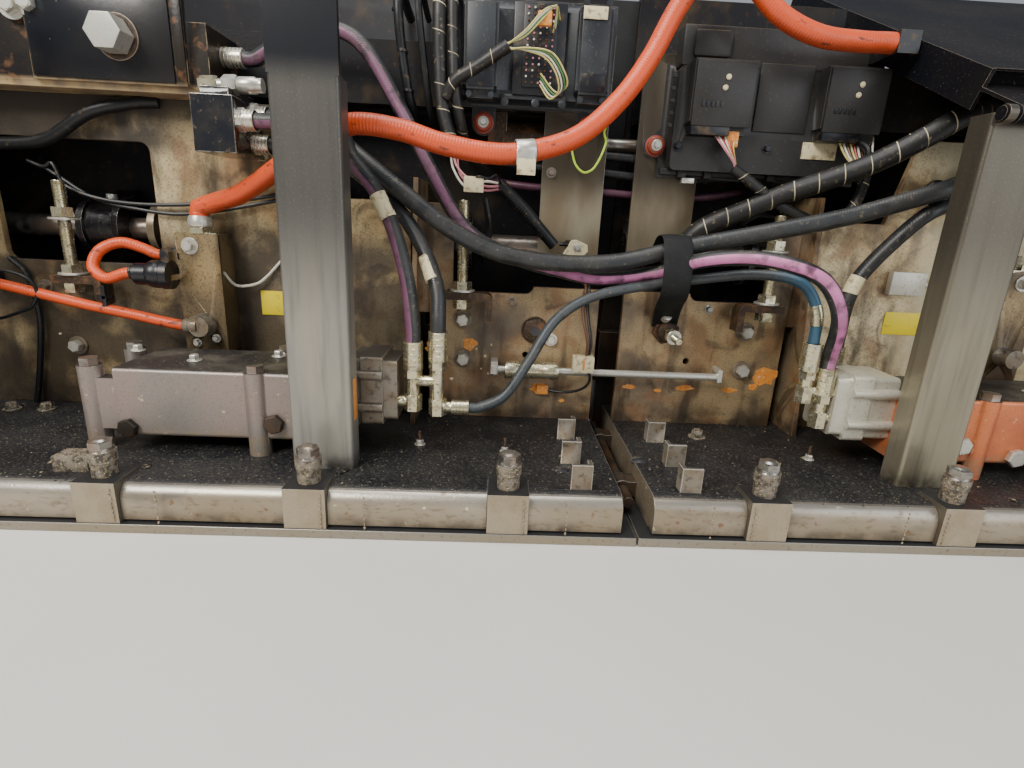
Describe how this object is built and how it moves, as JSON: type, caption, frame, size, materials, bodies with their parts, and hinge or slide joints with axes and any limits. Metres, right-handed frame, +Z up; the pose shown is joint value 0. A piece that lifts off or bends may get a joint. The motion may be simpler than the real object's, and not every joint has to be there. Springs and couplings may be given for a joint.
{
  "type": "asphalt paver basic screed",
  "caption": "Basic screed of an asphalt paver: two halves with sole plates, tampers and vibration, hinged at the crown joint, with a folding platform.",
  "frame": {"origin": "bottom centre of the box: on the road under the crown joint, half-way between the soles' rear edge and the arm brackets' front", "axes": "+X to the right seen from behind, +Y in the travel direction, +Z up"},
  "size_m": [2.5, 0.7, 0.8642],
  "materials": {
    "frame_steel": "worn",
    "wall_steel": "rusty",
    "sole_steel": "satin",
    "sheet_black": "satin",
    "beam_steel": "worn",
    "cast_grey": "rough",
    "cast_red": "matte",
    "dark_iron": "oily",
    "bare_aluminium": "cast",
    "bright_steel": "satin",
    "zinc": "satin",
    "black_plastic": "matte",
    "rubber": "matte",
    "conduit": "satin"
  },
  "bodies": {
    "left_half": {"sole_l": "sole_steel", "base_l": "frame_steel", "clamps_l": "sole_steel", "inner_wall_l": "wall_steel", "main_wall_l": "wall_steel", "front_wall_l": "frame_steel", "end_wall_l": "frame_steel", "beam_l": "beam_steel", "posts_l": "frame_steel", "vib_housing_l": "cast_grey", "vib_motor_l": "dark_iron", "bearings_l": "dark_iron", "arm_bracket_l": "beam_steel", "terminal_box_l": "frame_steel", "adjusters_l": "zinc", "crown_barrel": "dark_iron", "crown_hinge_l": "bright_steel", "crown_sleeve": "zinc", "control_l": "black_plastic", "valve_block": "dark_iron", "conduit": "conduit", "hose_main": "rubber", "hose_long": "rubber", "hose_cross": "rubber", "hose_short": "rubber", "hose_return": "rubber", "heat_cable": "conduit", "heat_loop": "conduit"},
    "right_half": {"sole_r": "sole_steel", "base_r": "frame_steel", "clamps_r": "sole_steel", "inner_wall_r": "wall_steel", "main_wall_r": "wall_steel", "front_wall_r": "frame_steel", "end_wall_r": "frame_steel", "beam_r": "beam_steel", "posts_r": "frame_steel", "vib_housing_r": "cast_red", "vib_motor_r": "bare_aluminium", "bearings_r": "dark_iron", "arm_bracket_r": "beam_steel", "terminal_box_r": "frame_steel", "adjusters_r": "zinc", "crown_screw": "bright_steel", "crown_hinge_r": "dark_iron", "crown_rod": "zinc", "control_r": "black_plastic", "hose_block": "dark_iron", "hose_drain": "rubber"},
    "tamper_shaft_l": {"shaft_l": "bright_steel"},
    "tamper_bar_l": {"tamper_l": "sole_steel", "tamper_rod_in_l": "dark_iron", "tamper_rod_out_l": "dark_iron"},
    "tamper_shaft_r": {"shaft_r": "bright_steel"},
    "tamper_bar_r": {"tamper_r": "sole_steel", "tamper_rod_in_r": "dark_iron", "tamper_rod_out_r": "dark_iron"},
    "walkway": {"walkway": "sheet_black"}
  },
  "joints": [
    {"name": "crown_hinge", "type": "hinge", "parent": "left_half", "child": "right_half", "pos_m": [0, -0.15, 0.03], "axis": [0, 1, 0], "range_deg": [-1.4, 2.9], "deforming": ["conduit", "hose_main", "hose_long", "hose_cross"]},
    {"name": "walkway_hinge", "type": "hinge", "parent": "right_half", "child": "walkway", "pos_m": [0.8, -0.292, 0.535], "axis": [1, 0, 0], "range_deg": [0, 154]},
    {"name": "tamper_shaft_l", "type": "hinge", "parent": "left_half", "child": "tamper_shaft_l", "pos_m": [0, 0.026, 0.35], "axis": [1, 0, 0], "continuous": true},
    {"name": "tamper_stroke_l", "type": "slide", "parent": "left_half", "child": "tamper_bar_l", "axis": [0, 0, 1], "range_m": [0, 0.004]},
    {"name": "tamper_shaft_r", "type": "hinge", "parent": "right_half", "child": "tamper_shaft_r", "pos_m": [0, 0.026, 0.35], "axis": [1, 0, 0], "continuous": true},
    {"name": "tamper_stroke_r", "type": "slide", "parent": "right_half", "child": "tamper_bar_r", "axis": [0, 0, 1], "range_m": [0, 0.004]}
  ]
}
